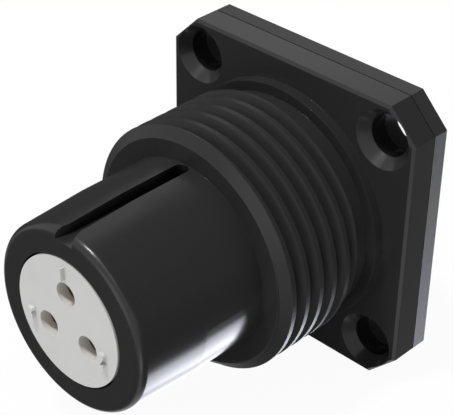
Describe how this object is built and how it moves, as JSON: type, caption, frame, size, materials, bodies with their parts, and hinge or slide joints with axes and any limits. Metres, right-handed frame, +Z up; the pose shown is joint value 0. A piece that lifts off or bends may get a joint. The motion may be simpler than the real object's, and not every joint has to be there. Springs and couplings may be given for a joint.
{
  "type": "panel mount connector",
  "caption": "Round panel mount socket connector with square flange, gasket, coarse threaded barrel and keyed nose around an insulated contact insert.",
  "frame": {"origin": "centre of the gasket's rear face, where the connector meets the panel", "axes": "+Z up with the keyway on top, -Y along the nose towards the mating plug, +Y into the panel"},
  "size_m": [0.024, 0.0324, 0.024],
  "materials": {
    "shell_plastic": "glossy black, as moulded",
    "gasket_rubber": "matte dark grey",
    "insert_plastic": "light grey, as moulded",
    "seal_rubber": "black",
    "spring_steel": "phosphated spring steel",
    "contact_metal": "gold plated",
    "hood_metal": "gold flashed sleeve"
  },
  "bodies": {
    "root": {"shell": "shell_plastic", "flange_gasket": "gasket_rubber", "front_insert": "insert_plastic", "rear_insert": "insert_plastic", "insert_seal": "seal_rubber", "retaining_ring": "spring_steel", "contact_1": "contact_metal", "contact_2": "contact_metal", "contact_3": "contact_metal", "contact_hood_1": "hood_metal", "contact_hood_2": "hood_metal", "contact_hood_3": "hood_metal"}
  },
  "joints": []
}
